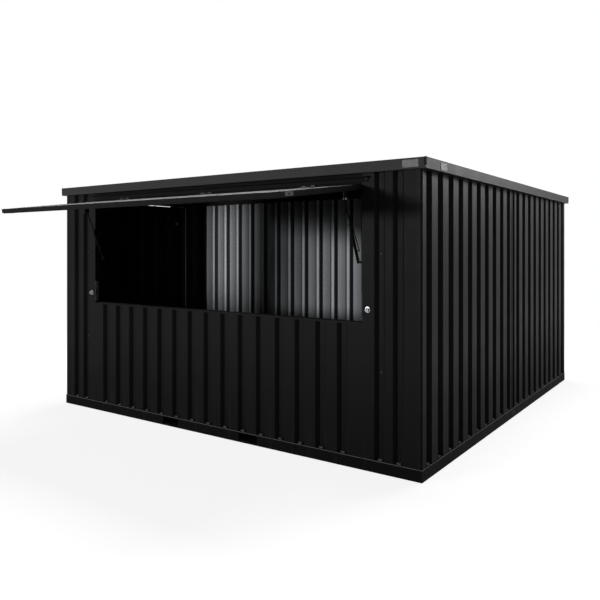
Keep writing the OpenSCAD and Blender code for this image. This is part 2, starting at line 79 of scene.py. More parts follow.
# Width of a groove and of the flat beside it: end walls and doors, rear and middle wall and roofs,
# wall under the hatch and hatch, panels beside the hatch.
END_GROOVE, END_FLAT = 0.1055, 0.1095
LONG_GROOVE, LONG_FLAT = 0.1015, 0.102
FRONT_GROOVE, FRONT_FLAT = 0.0935, 0.103
SIDE_GROOVE, SIDE_FLAT = 0.088, 0.062
LEAST_EDGE = 0.045

FRAME_STEEL = 0.004
STRIP_RECESS = 0.034
PLATE_LENGTH = 0.122
KEEPER_T = 0.002
STRAP_HALF, STRAP_T = 0.0618, 0.004
DOOR_WIDTH = 0.904
LEAF_T, LEAF_BAR, LEAF_GAP = 0.036, 0.030, 0.008
LOCK_RADIUS, LOCK_REACH = 0.023, 0.024
STRUT_BARREL, STRUT_EYE = 0.320, 0.011

# Front of the drip rail's plate, where its screws and the rain seal sit.
RAIL_FACE = RAIL_HIGH.y - FRAME_STEEL

# The hatch is drawn closed, then turned open about its hinge line.
HATCH_JOINT = joint_named("hatch_hinge")
HATCH_AXIS = Vector(HATCH_JOINT["pos_m"])
HATCH_OPEN = radians(max(HATCH_JOINT["range_deg"]))
HATCH_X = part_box("hatch_frame")[1].x
HATCH_BACK = FRONT_Y + LEAF_T
HATCH_BOTTOM, HATCH_TOP = SILL_TOP + LEAF_GAP, HEADER_Z - LEAF_GAP
OPEN_HATCH = (
    Matrix.Translation(HATCH_AXIS)
    @ Matrix.Rotation(-HATCH_OPEN, 4, "X")
    @ Matrix.Translation(-HATCH_AXIS)
)

# Heights of the fixings in the grooves of the walls: foot, lower rail, upper rail and head.
FIXING_EDGE = 0.045
FIXING_ROWS = (BASE_TOP + FIXING_EDGE, 0.74, 1.617, WALL_TOP - FIXING_EDGE)

LEFT, RIGHT, FORWARD, BACK, UP = (-1, 0, 0), (1, 0, 0), (0, -1, 0), (0, 1, 0), (0, 0, 1)


def grooves(start, end, groove, flat):
    """Middles of a ribbed sheet's grooves, by the rule that folds the sheet."""
    count = max(1, int((end - start - 2 * LEAST_EDGE + flat) / (groove + flat)))
    edge = (end - start - count * groove - (count - 1) * flat) / 2
    return [start + edge + groove / 2 + i * (groove + flat) for i in range(count)]


def flats(start, end, groove, flat):
    """Middles of the flats between a ribbed sheet's grooves."""
    middles = grooves(start, end, groove, flat)
    return [(one + following) / 2 for one, following in zip(middles, middles[1:])]


def closed(path):
    """A path of points that comes back to its first point."""
    return path + path[:1]


# ---- Node helpers ----


def add(tree, kind, inputs=None, **settings):
    """Adds a node, sets it, and fills or links its inputs."""
    made = tree.nodes.new(kind)
    for name, value in settings.items():
        setattr(made, name, value)
    for socket, value in (inputs or {}).items():
        if isinstance(value, bpy.types.NodeSocket):
            tree.links.new(value, made.inputs[socket])
        else:
            made.inputs[socket].default_value = value
    return made


def new_finish(name):
    """An empty material with its tree, and the surface's own coordinates."""
    finish = bpy.data.materials.new(name)
    finish.use_nodes = True
    tree = finish.node_tree
    tree.nodes.clear()
    coords = add(tree, "ShaderNodeTexCoord").outputs["Object"]
    return finish, tree, coords


def cloud(tree, coords, scale, stretch=(1, 1, 1), detail=3.0):
    """Soft noise from 0 to 1, stretched along the axes."""
    place = add(tree, "ShaderNodeMapping", {"Vector": coords, "Scale": stretch}).outputs[0]
    return add(
        tree, "ShaderNodeTexNoise", {"Vector": place, "Scale": scale, "Detail": detail}
    ).outputs[0]


def ramp(tree, value, start, end, to_start=0.0, to_end=1.0):
    """value from start..end, carried over to to_start..to_end."""
    return add(
        tree,
        "ShaderNodeMapRange",
        {0: value, 1: start, 2: end, 3: to_start, 4: to_end},
        interpolation_type="SMOOTHSTEP",
    ).outputs[0]


def mixed(tree, factor, first, second):
    """A colour between first and second."""
    return add(
        tree, "ShaderNodeMix", {0: factor, 6: first, 7: second}, data_type="RGBA"
    ).outputs[2]


def worked(tree, operation, *values):
    """The result of an arithmetic operation on one or two values."""
    return add(tree, "ShaderNodeMath", dict(enumerate(values)), operation=operation).outputs[0]


def times(tree, first, second):
    """The product of two values."""
    return worked(tree, "MULTIPLY", first, second)


def along(tree, axis, vector):
    """The part of a vector along X, Y or Z."""
    return add(tree, "ShaderNodeSeparateXYZ", {0: vector}).outputs[axis]


def relief(tree, height, distance, strength=1.0, under=None):
    """A bump from a height pattern, over another bump."""
    inputs = {"Strength": strength, "Distance": distance, "Height": height}
    if under is not None:
        inputs["Normal"] = under
    return add(tree, "ShaderNodeBump", inputs).outputs[0]


def surface(tree, **inputs):
    """Ends a material in a Principled shader with these inputs."""
    named = {name.replace("_", " "): value for name, value in inputs.items()}
    shader = add(tree, "ShaderNodeBsdfPrincipled", named)
    add(tree, "ShaderNodeOutputMaterial", {"Surface": shader.outputs[0]})


# ---- Finishes ----

# Heights where dust splashed up, the dull coat and the painted shade low down fade out.
DUST_TOP, DULL_TOP, SHADE_TOP = 0.55, 1.00, 1.30
# Height up to which the dull coat and the painted shade are at full strength.
DULL_AND_SHADE_FOOT = 0.05

DRY_DUST = (0.085, 0.078, 0.068, 1)
SETTLED_DUST = (0.12, 0.115, 0.105, 1)
FILM_DARK, FILM_LIGHT = (0.085, 0.050, 0.030, 1), (0.150, 0.092, 0.055, 1)
BARE_WOOD, BOARD_JOINT = (0.30, 0.23, 0.17, 1), (0.02, 0.016, 0.012, 1)

# Painted light and shade across one fold of the zinc, from the middle of a crest to the middle of the next:
# painted highlights on the crests, painted shade on the slopes, and flats painted darker towards the next crest.
ZINC_FOLD_LIGHT = (
    (0.00, 0.62), (0.065, 0.62), (0.095, 0.060), (0.240, 0.055), (0.262, 0.34), (0.31, 0.40),
    (0.52, 0.27), (0.735, 0.185), (0.755, 0.055), (0.905, 0.060), (0.935, 0.62), (1.00, 0.62),
)


def grey(level, tint=0.0):
    """A neutral colour, a little bluer with tint."""
    return (level * (1 - tint), level, level * (1 + tint), 1)


def front_lightened(tree, coords, colour, level):
    """Colour painted paler, up to a grey level, on the front faces of the bar: painted light."""
    fade = 0.04
    on_front = ramp(tree, along(tree, "Y", coords), FRONT_Y, FRONT_Y + fade, 1.0, 0.0)
    return mixed(tree, on_front, colour, grey(level))


def dusted(tree, coords, colour):
    """Colour with runs of dry dust low down, and settled dust on what faces up."""
    runs = ramp(tree, cloud(tree, coords, 3.0, (6, 6, 0.35)), 0.52, 0.75)
    low_down = ramp(tree, along(tree, "Z", coords), 0.0, DUST_TOP, 0.10, 0.0)
    colour = mixed(tree, times(tree, low_down, runs), colour, DRY_DUST)
    facing = add(tree, "ShaderNodeNewGeometry").outputs["Normal"]
    level = ramp(tree, along(tree, "Z", facing), 0.6, 1.0)
    patches = ramp(tree, cloud(tree, coords, 9.0), 0.35, 0.75)
    return mixed(tree, times(tree, times(tree, level, 0.35), patches), colour, SETTLED_DUST)


def powder_coat(name, level, rough, sheen, front_light=1.0, film=0.0):
    """Black powder coat: fine peel, cloudy gloss, duller low down and darker towards the bottom by
    painted shade, dusty on ledges, paler on the front by painted light, and with a film of dust that shows at a
    flat angle."""
    finish, tree, coords = new_finish(name)
    height = along(tree, "Z", coords)
    shade = ramp(tree, cloud(tree, coords, 1.3), 0.3, 0.7)
    colour = mixed(tree, shade, grey(level * 0.93), grey(level * 1.08, 0.02))
    # Painted light: the front faces are made paler than the other faces.
    if front_light != 1.0:
        colour = front_lightened(tree, coords, colour, level * front_light)
    # Painted shade: the colour gets darker towards the bottom.
    low_shade = ramp(tree, height, DULL_AND_SHADE_FOOT, SHADE_TOP, 0.50, 0.0)
    colour = dusted(tree, coords, mixed(tree, low_shade, colour, grey(level * 0.35)))
    peel = relief(tree, cloud(tree, coords, 420.0, detail=2.0), 0.0006, 0.35)
    waves = relief(tree, cloud(tree, coords, 2.6, (1, 1, 0.5), detail=1.0), 0.002, 0.2, peel)
    gloss = ramp(tree, cloud(tree, coords, 5.0), 0.3, 0.7, rough - 0.02, rough + 0.03)
    dulled = ramp(tree, height, DULL_AND_SHADE_FOOT, DULL_TOP, 0.22, 0.0)
    gloss = worked(tree, "ADD", gloss, dulled)
    surface(
        tree, Base_Color=colour, Roughness=gloss, Normal=waves, Specular_IOR_Level=sheen,
        Sheen_Weight=film, Sheen_Roughness=0.30,
    )
    return finish


def painted_fold_light(tree, coords, crest_x, pitch):
    """Painted light and shade in bands across each fold of a sheet, counted from a crest far to the left."""
    folds_to_the_left = 20
    from_crest = worked(tree, "SUBTRACT", along(tree, "X", coords), crest_x - folds_to_the_left * pitch)
    share = worked(tree, "FRACT", worked(tree, "DIVIDE", from_crest, pitch))
    bands = add(tree, "ShaderNodeValToRGB", {0: share})
    stops = bands.color_ramp.elements
    for place, shade in ZINC_FOLD_LIGHT[1:-1]:
        stops.new(place)
    for stop, (place, shade) in zip(stops, ZINC_FOLD_LIGHT):
        stop.position = place
        stop.color = grey(shade, 0.05)
    return bands.outputs[0]


def zinc_sheet(name, crest_x, pitch):
    """Galvanised ribbed sheet, spangled and streaked, with painted light across each fold: painted highlights on
    the crests, painted shade on the slopes, and flats painted darker towards one side.
    """
    finish, tree, coords = new_finish(name)
    flakes = add(
        tree, "ShaderNodeTexVoronoi", {"Vector": coords, "Scale": 95.0}, feature="F1"
    ).outputs["Color"]
    flake = add(tree, "ShaderNodeSeparateColor", {0: flakes}).outputs[0]
    streaks = ramp(tree, cloud(tree, coords, 9.0, (1, 1, 0.03)), 0.35, 0.7)
    spangle = mixed(tree, flake, grey(0.74), grey(1.0))
    spangle = mixed(tree, times(tree, streaks, 0.6), spangle, grey(1.15))
    # Painted light and shade across each fold: bright crests, dark slopes, flats darker towards one side.
    fold_light = painted_fold_light(tree, coords, crest_x, pitch)
    colour = add(
        tree, "ShaderNodeMix", {0: 1.0, 6: fold_light, 7: spangle},
        data_type="RGBA", blend_type="MULTIPLY",
    ).outputs[2]
    gloss = ramp(tree, flake, 0.0, 1.0, 0.34, 0.50)
    uneven = relief(tree, cloud(tree, coords, 18.0, (1, 1, 0.2), detail=2.0), 0.002, 0.3)
    surface(tree, Base_Color=colour, Roughness=gloss, Normal=uneven, Specular_IOR_Level=0.12)
    return finish


def bright_plate(name, level, rough, metal):
    """Plated or bare steel with fine turning lines and faint fingermarks."""
    finish, tree, coords = new_finish(name)
    marks = ramp(tree, cloud(tree, coords, 70.0), 0.35, 0.7)
    colour = mixed(tree, marks, grey(level, 0.01), grey(level * 0.88))
    gloss = ramp(tree, marks, 0.0, 1.0, rough, rough + 0.14)
    lines = relief(tree, cloud(tree, coords, 300.0, (1, 1, 6)), 0.0003, 0.25)
    surface(tree, Base_Color=colour, Metallic=metal, Roughness=gloss, Normal=lines)
    return finish


def film_plywood(name):
    """Brown film-faced plywood: mottled film, scuffs, and joints between the sheets."""
    finish, tree, coords = new_finish(name)
    mottle = ramp(tree, cloud(tree, coords, 4.0, (1, 5, 1)), 0.3, 0.7)
    colour = mixed(tree, mottle, FILM_DARK, FILM_LIGHT)
    scuffs = ramp(tree, cloud(tree, coords, 14.0, (3, 0.6, 1), detail=6.0), 0.56, 0.72)
    colour = mixed(tree, times(tree, scuffs, 0.5), colour, BARE_WOOD)
    board_length, board_width, joint_width = 1.22, 1.11, 0.0035
    boards = {
        "Vector": coords, "Scale": 1.0, "Mortar Size": joint_width, "Mortar Smooth": 0.2,
        "Brick Width": board_length, "Row Height": board_width,
        "Color1": grey(1.0), "Color2": grey(1.0), "Mortar": grey(0.0),
    }
    joints = add(tree, "ShaderNodeTexBrick", boards).outputs["Color"]
    colour = mixed(tree, joints, BOARD_JOINT, colour)
    mesh_print = relief(tree, cloud(tree, coords, 260.0), 0.0008, 0.4)
    sunk = relief(tree, joints, 0.002, 0.8, mesh_print)
    gloss = ramp(tree, scuffs, 0.0, 1.0, 0.42, 0.68)
    surface(tree, Base_Color=colour, Roughness=gloss, Normal=sunk)
    return finish


def seal_rubber(name, level):
    """Black rubber with a dusty bloom."""
    finish, tree, coords = new_finish(name)
    bloom = ramp(tree, cloud(tree, coords, 30.0), 0.45, 0.8)
    colour = mixed(tree, times(tree, bloom, 0.5), grey(level), grey(level * 4))
    grain = relief(tree, cloud(tree, coords, 500.0), 0.0004, 0.4)
    surface(tree, Base_Color=colour, Roughness=0.72, Normal=grain, Specular_IOR_Level=0.1)
    return finish


WALL_BLACK = powder_coat("wall_black", 0.0105, 0.46, 0.04)
FRAME_BLACK = powder_coat("frame_black", 0.011, 0.42, 0.04)
BASE_BLACK = powder_coat("base_black", 0.0075, 0.50, 0.03)
# Painted shade: a darker copy of the black paint for the header, the drip rail and the struts under the open
# hatch.
SHADED_BLACK = powder_coat("shaded_black", 0.005, 0.50, 0.02)
# The fascias' front faces are painted paler: painted light.
FASCIA_BLACK = powder_coat("fascia_black", 0.0235, 0.46, 0.04, front_light=2.6)
HATCH_BLACK = powder_coat("hatch_black", 0.011, 0.34, 0.50)
SKIN_BLACK = powder_coat("skin_black", 0.011, 0.46, 0.04, film=0.85)

# The grooves of the middle wall are the crests that the bar room sees.
MIDDLE_CRESTS = grooves(MIDDLE_LOW.x, MIDDLE_HIGH.x, LONG_GROOVE, LONG_FLAT)
ZINC = zinc_sheet("galvanised_wall", MIDDLE_CRESTS[0], LONG_GROOVE + LONG_FLAT)
PLAIN_ZINC = bright_plate("plain_zinc", 0.34, 0.45, 0.3)
PLATED = bright_plate("plated_steel", 0.40, 0.24, 1.0)
DULL = bright_plate("dull_steel", 0.15, 0.50, 0.5)
PLATE_GREY = bright_plate("plate_grey", 0.17, 0.55, 0.1)
# Painted highlight: a pale bead along the base frames' top edges.
EDGE_HIGHLIGHT = bright_plate("edge_highlight", 0.050, 0.60, 0.0)
# Painted glints: pale clips at the grooves' feet and pale screws beside the hatch.
CLIP_GLINT = bright_plate("glint_clip", 0.028, 0.70, 0.0)
PLYWOOD = film_plywood("film_plywood")
RUBBER = seal_rubber("seal_rubber", 0.012)
# The rain seal's rubber, made darkest black as painted shade under the rail's lip.
SEAL_AND_SHADE_BLACK = seal_rubber("seal_and_shade_rubber", 0.003)
# Painted shade: near-black strips on the hatch leaf's edges.
EDGE_SHADE_BLACK = seal_rubber("edge_shade_rubber", 0.004)

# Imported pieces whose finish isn't the one of their material.
NODE_FINISH = {
    FRAME_BLACK: (
        "front_posts", "middle_posts", "rear_posts", "joint_strips", "hatch_jambs",
        "hatch_sill", "door_frame", "hatch_hinge_lugs", "door_hinge_lugs",
    ),
    BASE_BLACK: ("front_base_frame", "rear_base_frame", "base_spacers"),
    # Painted shade on the parts under the open hatch.
    SHADED_BLACK: (
        "front_wall_header", "drip_rail", "strut_brackets", "left_strut_barrel",
        "right_strut_barrel", "left_strut_rod", "right_strut_rod",
    ),
    FASCIA_BLACK: ("front_roof_frame", "rear_roof_frame"),
    HATCH_BLACK: ("hatch_frame", "hatch_hinge_straps"),
    SKIN_BLACK: ("hatch_skin",),
    PLATE_GREY: ("corner_plates",),
}
SLOT_FINISH = {
    "black_paint": WALL_BLACK,
    "galvanised_sheet": ZINC,
    "floor_board": PLYWOOD,
    "bright_metal": PLATED,
    "dull_steel": DULL,
}


def finish_nodes():
    """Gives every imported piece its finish."""
    chosen = {node: finish for finish, nodes in NODE_FINISH.items() for node in nodes}
    for part in frame["record"]["subparts"]:
        finish = chosen.get(part["node"]) or SLOT_FINISH[part["material_slot"]]
        mesh = frame["nodes"][part["node"]].data
        mesh.materials.clear()
        mesh.materials.append(finish)


# ---- Shapes ----

# Radius and height along a lock's rose and knob, and along the plug of its key.
ROSE = [
    (0.0, 0.0), (0.023, 0.0), (0.023, 0.003), (0.021, 0.006), (0.0165, 0.0065), (0.0155, 0.009),
    (0.0150, 0.020), (0.0140, 0.0225), (0.0115, 0.0235), (0.0105, 0.0220), (0.0, 0.0220),
]
PLUG = [(0.0, 0.0), (0.0085, 0.0), (0.0080, 0.0012), (0.0, 0.0012)]
KEYWAY_HALF_W, KEYWAY_HALF_H = 0.0012, 0.0055

# Radius and height along a strut's ring and along the dome of its studs.
RING = [(0.0108, 0.0), (0.0125, 0.001), (0.0128, 0.006), (0.0125, 0.011), (0.0108, 0.012)]
DOME = [(0.0, 0.0), (0.0085, 0.0), (0.0085, 0.004), (0.0065, 0.0075), (0.0, 0.009)]


def add_block(shape, corner, opposite, bevel=0.0):
    """A box between two corners, with its edges taken off by bevel."""
    lowest = Vector(map(min, corner, opposite))
    highest = Vector(map(max, corner, opposite))
    made = bmesh.ops.create_cube(shape, size=1.0)["verts"]
    middle, size = (lowest + highest) / 2, highest - lowest
    for vertex in made:
        vertex.co = middle + Vector(share * length for share, length in zip(vertex.co, size))
    if bevel:
        edges = list({edge for vertex in made for edge in vertex.link_edges})
        bmesh.ops.bevel(shape, geom=edges, offset=bevel, segments=2, profile=0.7, affect="EDGES")


def add_turned(shape, profile, at, facing, sides=32):
    """Turns a profile of (radius, height) round the line from at towards facing."""
    turn = Vector(facing).to_track_quat("Z", "Y").to_matrix().to_4x4()
    turn.translation = Vector(at)
    rings = []
    for radius, height in profile:
        count = sides if radius > 0 else 1
        angles = [2 * pi * i / count for i in range(count)]
        rings.append([
            shape.verts.new(turn @ Vector((radius * cos(angle), radius * sin(angle), height)))
            for angle in angles
        ])
    for lower, upper in zip(rings, rings[1:]):
        for i in range(sides):
            j = i + 1
            ends = [lower[i % len(lower)], lower[j % len(lower)],
                    upper[j % len(upper)], upper[i % len(upper)]]
            shape.faces.new(list(dict.fromkeys(ends)))


def add_bar(shape, start, end, radius, sides=16):
    """A round bar with closed ends."""
    run = Vector(end) - Vector(start)
    profile = [(0, 0), (radius, 0), (radius, run.length), (0, run.length)]
    add_turned(shape, profile, start, run, sides)


def add_keyway(shape, at, facing, start, end):
    """An upright slot in a lock's face, between two distances from its foot."""
    out = Vector(facing)
    half = Vector((abs(out.y) * KEYWAY_HALF_W, abs(out.x) * KEYWAY_HALF_W, KEYWAY_HALF_H))
    add_block(shape, Vector(at) + out * start - half, Vector(at) + out * end + half)


def finish_piece(name, shape, body, finish, place=None, smooth=False):
    """Makes a piece of a shape, gives it its finish and lets it ride on its body."""
    if place is not None:
        bmesh.ops.transform(shape, matrix=place, verts=shape.verts)
    bmesh.ops.recalc_face_normals(shape, faces=shape.faces)
    mesh = bpy.data.meshes.new(name)
    shape.to_mesh(mesh)
    shape.free()
    if smooth:
        mesh.shade_smooth()
        mesh.set_sharp_from_angle(angle=radians(35))
    mesh.materials.append(finish)
    piece = bpy.data.objects.new(name, mesh)
    bpy.context.scene.collection.objects.link(piece)
    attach(piece, body)
    return piece


# ---- Geometry Nodes: screw heads on points, and beads along paths ----


def new_tree(name, sizes):
    """A Geometry Nodes tree with a mesh input, named sizes and a finish."""
    tree = bpy.data.node_groups.new(name, "GeometryNodeTree")
    tree.interface.new_socket("Mesh", in_out="INPUT", socket_type="NodeSocketGeometry")
    for label, value in sizes.items():
        socket = tree.interface.new_socket(label, in_out="INPUT", socket_type="NodeSocketFloat")
        socket.default_value = value
    tree.interface.new_socket("Finish", in_out="INPUT", socket_type="NodeSocketMaterial")
    tree.interface.new_socket("Mesh", in_out="OUTPUT", socket_type="NodeSocketGeometry")
    given = tree.nodes.new("NodeGroupInput").outputs
    return tree, given


def end_tree(tree, given, geometry):
    """Ends a tree in real faces with the finish on them."""
    real = add(tree, "GeometryNodeRealizeInstances", {0: geometry}).outputs[0]
    done = add(
        tree, "GeometryNodeSetMaterial", {"Geometry": real, "Material": given["Finish"]}
    ).outputs[0]
    add(tree, "NodeGroupOutput", {0: done})
    return tree


def screw_tree():
    """Each point gets a pan head on a washer that faces the way the point says."""
    tree, given = new_tree("screws", {"Head": 0.005, "Rise": 0.003, "Washer": 0.008})
    washer_t = 0.0012
    washer = add(
        tree, "GeometryNodeMeshCylinder",
        {"Vertices": 14, "Radius": given["Washer"], "Depth": washer_t},
    ).outputs["Mesh"]
    crown = times(tree, given["Head"], 0.55)
    head = add(
        tree, "GeometryNodeMeshCone",
        {"Vertices": 12, "Radius Top": crown, "Radius Bottom": given["Head"],
         "Depth": given["Rise"]},
    ).outputs["Mesh"]
    screw = add(tree, "GeometryNodeJoinGeometry")
    tree.links.new(washer, screw.inputs[0])
    tree.links.new(head, screw.inputs[0])
    facing = add(
        tree, "GeometryNodeInputNamedAttribute", {"Name": "facing"}, data_type="FLOAT_VECTOR"
    ).outputs[0]
    turn = add(tree, "FunctionNodeAlignRotationToVector", {"Vector": facing}, axis="Z").outputs[0]
    placed = add(
        tree, "GeometryNodeInstanceOnPoints",
        {"Points": given["Mesh"], "Instance": screw.outputs[0], "Rotation": turn},
    ).outputs[0]
    return end_tree(tree, given, placed)


def bead_tree():
    """A round bead along each path of edges."""
    tree, given = new_tree("beads", {"Radius": 0.004})
    path = add(tree, "GeometryNodeMeshToCurve", {"Mesh": given["Mesh"]}).outputs[0]
    profile = add(
        tree, "GeometryNodeCurvePrimitiveCircle", {"Resolution": 10, "Radius": given["Radius"]}
    ).outputs[0]
    bead = add(
        tree, "GeometryNodeCurveToMesh",
        {"Curve": path, "Profile Curve": profile, "Fill Caps": True},
    ).outputs[0]
    return end_tree(tree, given, bead)


SCREWS, BEADS = screw_tree(), bead_tree()


def grown(name, tree, mesh, sizes, body, finish):
    """Runs a tree on a mesh and keeps the result as a plain piece."""
    seed = bpy.data.objects.new(name + "_seed", mesh)
    bpy.context.scene.collection.objects.link(seed)
    modifier = seed.modifiers.new("grow", "NODES")
    modifier.node_group = tree
    values = {**sizes, "Finish": finish}
    for socket in tree.interface.items_tree:
        if socket.in_out == "INPUT" and socket.name in values:
            modifier[socket.identifier] = values[socket.name]
    depsgraph = bpy.context.evaluated_depsgraph_get()
    plain = bpy.data.meshes.new_from_object(seed.evaluated_get(depsgraph), depsgraph=depsgraph)
    bpy.data.objects.remove(seed)
    shape = bmesh.new()
    shape.from_mesh(plain)
    return finish_piece(name, shape, body, finish, smooth=True)


def screws(name, places, sizes, body="building", finish=FRAME_BLACK, place=None):
    """Screw heads at places, each a point and the way it faces."""
    mesh = bpy.data.meshes.new(name)
    points = [Vector(point) for point, facing in places]
    facings = [Vector(facing) for point, facing in places]
    if place is not None:
        points = [place @ point for point in points]
        facings = [place.to_3x3() @ facing for facing in facings]
    mesh.from_pydata(points, [], [])
    stored = mesh.attributes.new("facing", "FLOAT_VECTOR", "POINT")
    for i, facing in enumerate(facings):
        stored.data[i].vector = facing
    head, rise, washer = sizes
    values = {"Head": head, "Rise": rise, "Washer": washer}
    return grown(name, SCREWS, mesh, values, body, finish)


def beads(name, paths, radius, body="building", finish=RUBBER, place=None):
    """Round beads along paths of points; a path whose ends meet is a ring."""
    mesh = bpy.data.meshes.new(name)
    points, edges = [], []
    for path in paths:
        ring = path[0] == path[-1]
        first = len(points)
        points += [Vector(p) for p in (path[:-1] if ring else path)]
        last = len(points)
        edges += [(i, i + 1) for i in range(first, last - 1)]
        if ring:
            edges.append((last - 1, first))
    if place is not None:
        points = [place @ p for p in points]
    mesh.from_pydata(points, edges, [])
    return grown(name, BEADS, mesh, {"Radius": radius}, body, finish)


# Radius of the head, its rise, and radius of the washer.
SMALL_SCREW = (0.0050, 0.0030, 0.0080)
BOLT = (0.0085, 0.0060, 0.0130)
RIVET = (0.0045, 0.0020, 0.0050)


# ---- Walls ----


def front_fixings(rows):
    """Places in the grooves of the front wall's panels, at these heights."""
    low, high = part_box("front_wall_lower")
    floor_y = low.y + RIB_DEPTH
    places = []
    for x in grooves(low.x, high.x, FRONT_GROOVE, FRONT_FLAT):
        places += [((x, floor_y, z), FORWARD) for z in rows[:2]]
    for x in side_panel_grooves():
        places += [((side * x, floor_y, z), FORWARD) for z in rows for side in (-1, 1)]
    return places


def side_panel_grooves():
    """Middles of the grooves in the panel right of the opening."""
    low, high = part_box("front_wall_right")
    return grooves(low.x, high.x, SIDE_GROOVE, SIDE_FLAT)


def end_fixings(rows):
    """Places in the grooves of both end walls, at these heights."""
    places = []
    for node in ("right_wall_front", "right_wall_rear"):
        low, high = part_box(node)
        for y in grooves(low.y, high.y, END_GROOVE, END_FLAT):
            places += [((high.x - RIB_DEPTH, y, z), RIGHT) for z in rows]
    next_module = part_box("rear_door_leaf")[0].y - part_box("door_leaf")[0].y
    for node in ("left_wall_front_end", "left_wall_back_end"):
        low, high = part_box(node)
        for y in grooves(low.y, high.y, END_GROOVE, END_FLAT):
            face_x = low.x + RIB_DEPTH
            places += [((face_x, y + move, z), LEFT) for z in rows for move in (0, next_module)]
    return places


def rear_fixings(rows):
    """Places in the grooves of the rear wall, at these heights."""
    low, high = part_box("rear_wall")
    middles = grooves(low.x, high.x, LONG_GROOVE, LONG_FLAT)
    return [((x, high.y - RIB_DEPTH, z), BACK) for x in middles for z in rows]


def wall_fixings():
    """Screws in the grooves of every outer wall, with painted highlights on those beside the hatch, and foot
    clips.
    """
    places = front_fixings(FIXING_ROWS) + end_fixings(FIXING_ROWS) + rear_fixings(FIXING_ROWS)
    beside_hatch = min(side_panel_grooves())
    pale = [
        (point, facing) for point, facing in places
        if abs(point[0]) == beside_hatch and point[2] in FIXING_ROWS[1:3]
    ]
    # Painted highlights: the screws beside the hatch are pale.
    screws("panel_screws", pale, SMALL_SCREW, finish=CLIP_GLINT)
    screws("wall_screws", [place for place in places if place not in pale], SMALL_SCREW)
    foot_clips([(point, facing) for point, facing in places if point[2] == FIXING_ROWS[0]])


def foot_clips(feet):
    """Folded clips that hold the foot of each groove to the base, pale as painted glints."""
    half, reach, rise = 0.018, 0.024, 0.015
    shape = bmesh.new()
    for point, facing in feet:
        out = Vector(facing)
        across = Vector((out.y, out.x, 0)) * half
        foot = Vector((point[0], point[1], BASE_TOP))
        add_block(shape, foot - across, foot + across + out * reach + Vector((0, 0, rise)), 0.004)
    finish_piece("foot_clips", shape, "building", CLIP_GLINT)


def base_edges():
    """Pale bead along the top edge of each module's base frame, all the way round: a painted highlight."""
    radius = 0.0025
    rings = []
    for node in ("front_base_frame", "rear_base_frame"):
        low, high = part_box(node)
        z = BASE_TOP - radius
        ring = [(low.x, low.y, z), (high.x, low.y, z), (high.x, high.y, z), (low.x, high.y, z)]
        rings.append(closed(ring))
    beads("base_edges", rings, radius, finish=EDGE_HIGHLIGHT)


def middle_wall_rivets():
    """Rivets that hold the galvanised wall to its rails, seen from the bar room."""
    inset = 0.06
    rows = (BASE_TOP + inset, WALL_TOP - inset)
    places = [((x, MIDDLE_LOW.y, z), FORWARD) for x in MIDDLE_CRESTS for z in rows]
    screws("middle_wall_rivets", places, RIVET, finish=DULL)


def post_bolts():
    """Bolts that clamp the posts and the cover strips between the modules."""
    face, lowest, step, count = END_X - STRIP_RECESS, 0.25, 0.44, 5
    rows = [lowest + i * step for i in range(count)]
    ends = ((-face, LEFT), (face, RIGHT))
    places = [((x, 0.0, z), facing) for z in rows for x, facing in ends]
    screws("joint_bolts", places, BOLT)


# ---- Roof ----


def roof_cap():
    """Cover strip over the joint between the two roofs, with its screws."""
    half, rise, end = 0.034, 0.003, 0.012
    top = ROOF_HIGH.z + rise
    shape = bmesh.new()
    low_corner = (ROOF_LOW.x + end, -half, ROOF_HIGH.z)
    add_block(shape, low_corner, (ROOF_HIGH.x - end, half, top), 0.001)
    finish_piece("roof_joint_cap", shape, "building", FASCIA_BLACK)
    count, inset = 9, 0.15
    row_y = half * 0.55
    step = (ROOF_HIGH.x - ROOF_LOW.x - 2 * inset) / (count - 1)
    xs = [ROOF_LOW.x + inset + i * step for i in range(count)]
    screws("roof_cap_screws", [((x, y, top), UP) for x in xs for y in (-row_y, row_y)], SMALL_SCREW)


def roof_screws():
    """Screws in the flats of both roof sheets."""
    inset = 0.05
    places = []
    for node in ("front_roof", "rear_roof"):
        low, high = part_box(node)
        rows = [low.y + inset, (low.y + high.y) / 2, high.y - inset]
        for x in flats(low.x, high.x, LONG_GROOVE, LONG_FLAT):
            places += [((x, y, high.z), UP) for y in rows]
    screws("roof_screws", places, SMALL_SCREW)


def roof_corner_caps():
    """Dark caps in the corners, where the fascias meet."""
    reach, proud, foot = 0.016, 0.0015, 0.020
    shape = bmesh.new()
    for x, out_x in ((ROOF_LOW.x, -1), (ROOF_HIGH.x, 1)):
        for y, out_y in ((ROOF_LOW.y, -1), (ROOF_REAR, 1)):
            outer = (x + out_x * proud, y + out_y * proud, ROOF_LOW.z + foot)
            inner = (x - out_x * reach, y - out_y * reach, ROOF_HIGH.z + proud)
            add_block(shape, outer, inner, 0.001)
    finish_piece("roof_corner_caps", shape, "building", RUBBER)


def roof_hems():
    """Rolled hems along the lower edge and the top edge of the fascias."""
    radius, half_joint = 0.0022, 0.002
    modules = ((ROOF_LOW.y, -half_joint), (half_joint, ROOF_REAR))
    rings = []
    for z in (ROOF_LOW.z + radius, ROOF_HIGH.z - radius):
        for front, rear in modules:
            ring = [
                (ROOF_LOW.x, front, z), (ROOF_HIGH.x, front, z),
                (ROOF_HIGH.x, rear, z), (ROOF_LOW.x, rear, z),
            ]
            rings.append(closed(ring))
    beads("roof_hems", rings, radius, finish=FASCIA_BLACK)


